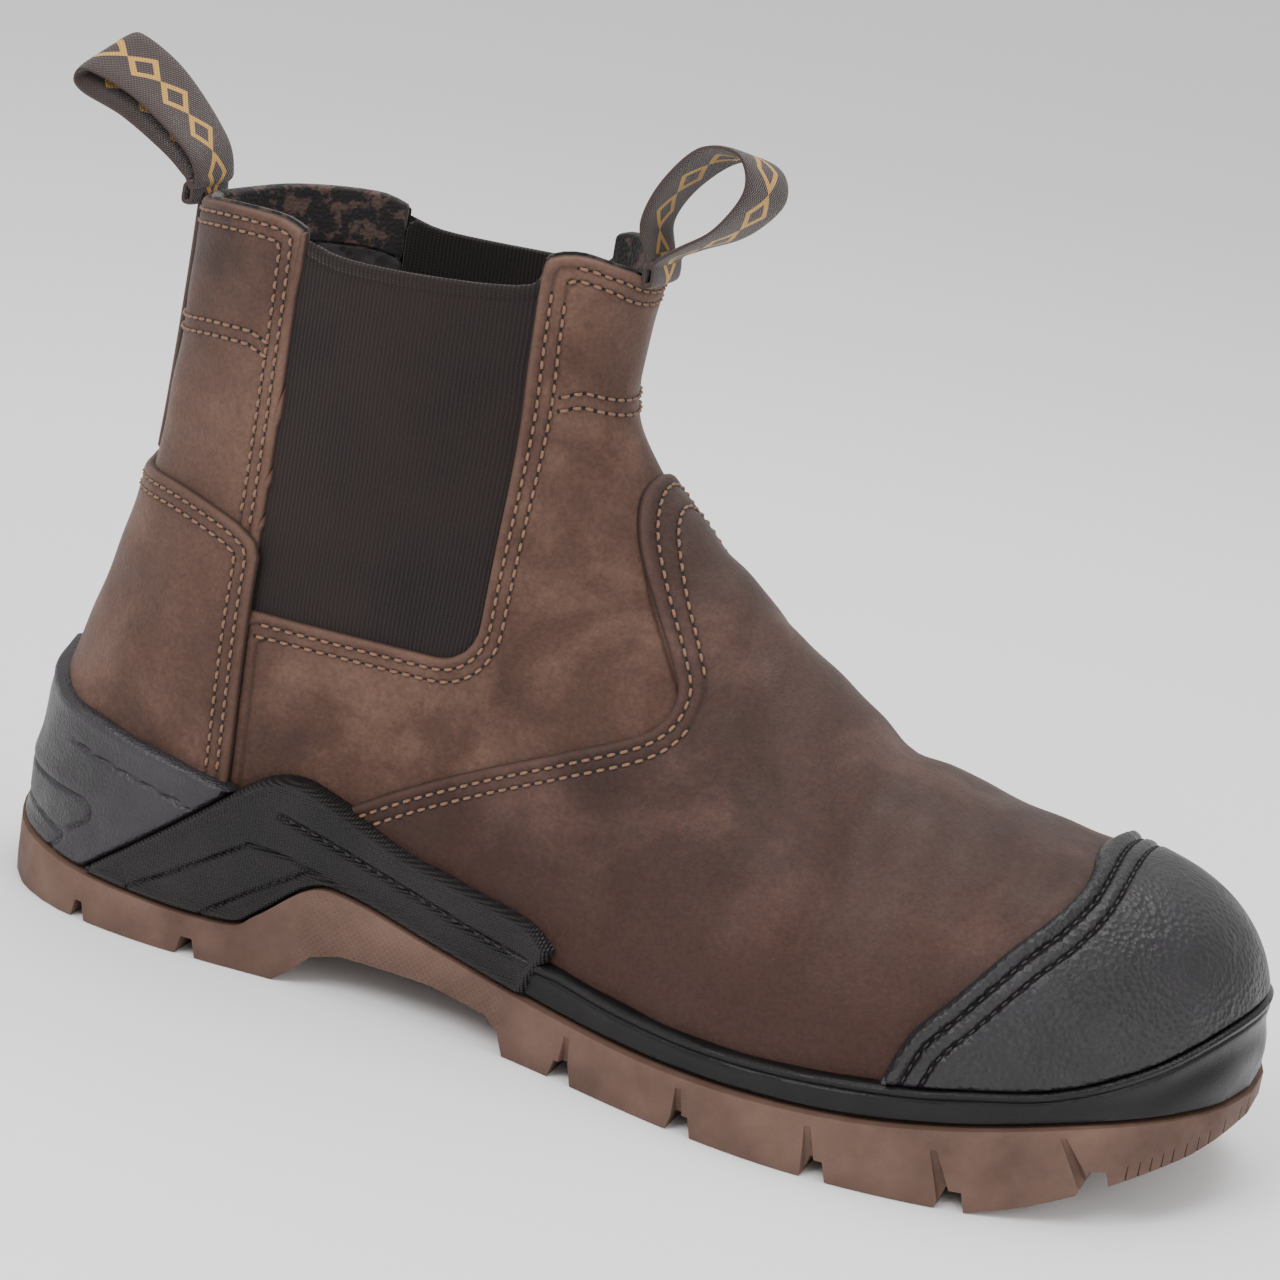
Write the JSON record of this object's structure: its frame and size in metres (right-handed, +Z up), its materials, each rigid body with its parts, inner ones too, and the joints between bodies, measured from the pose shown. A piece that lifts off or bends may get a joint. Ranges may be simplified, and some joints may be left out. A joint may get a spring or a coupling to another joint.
{
  "type": "steel toe work boot",
  "caption": "Pull-on safety boot with elastic side gores, leather upper, steel toe cap under a moulded toe bumper, grained heel cup, stabiliser wings and a lugged two-colour sole.",
  "frame": {"origin": "on the ground, at the middle of the boot's box in X and Y", "axes": "+X to the toe, +Y to the inner (medial) side of this right boot, +Z up"},
  "size_m": [0.3141, 0.1081, 0.2045],
  "materials": {
    "brown_nubuck": "oiled nubuck",
    "dark_leather": "oiled nubuck, dark",
    "elastic": "ribbed elastic webbing",
    "mesh_lining": "3-D spacer mesh",
    "webbing": "woven webbing",
    "black_polyurethane": "grained, satin",
    "tan_rubber": "matt moulded",
    "steel": "pressed, coated",
    "fibre_board": "needled fibre board",
    "foam": "fabric-covered foam"
  },
  "bodies": {
    "boot": {"vamp": "brown_nubuck", "front_quarter": "brown_nubuck", "rear_quarter_lateral": "brown_nubuck", "rear_quarter_medial": "brown_nubuck", "heel_counter_panel": "brown_nubuck", "back_strap": "dark_leather", "gore_lateral": "elastic", "gore_medial": "elastic", "collar_facing_rear": "mesh_lining", "collar_facing_front": "mesh_lining", "vamp_lining": "mesh_lining", "quarter_lining": "mesh_lining", "counter_stiffener": "fibre_board", "insole_board": "fibre_board", "footbed": "foam", "steel_toe_cap": "steel", "shank": "steel", "toe_cap_edge_strip": "black_polyurethane", "toe_rim": "black_polyurethane", "toe_bumper": "black_polyurethane", "toe_bumper_piping": "black_polyurethane", "heel_cup": "black_polyurethane", "stabiliser_lateral": "black_polyurethane", "stabiliser_medial": "black_polyurethane", "midsole": "black_polyurethane", "outsole": "tan_rubber"},
    "rear_loop": {"pull_loop_rear": "webbing"},
    "front_loop": {"pull_loop_front": "webbing"}
  },
  "joints": [
    {"name": "rear_loop_fold", "type": "hinge", "parent": "boot", "child": "rear_loop", "pos_m": [-0.1235, 0, 0.17263], "axis": [0, 1, 0], "range_deg": [-35, 90], "stiffness_Nm_per_rad": 0.03},
    {"name": "front_loop_fold", "type": "hinge", "parent": "boot", "child": "front_loop", "pos_m": [-0.01, 0, 0.17795], "axis": [0, 1, 0], "range_deg": [-65, 40], "stiffness_Nm_per_rad": 0.03}
  ]
}
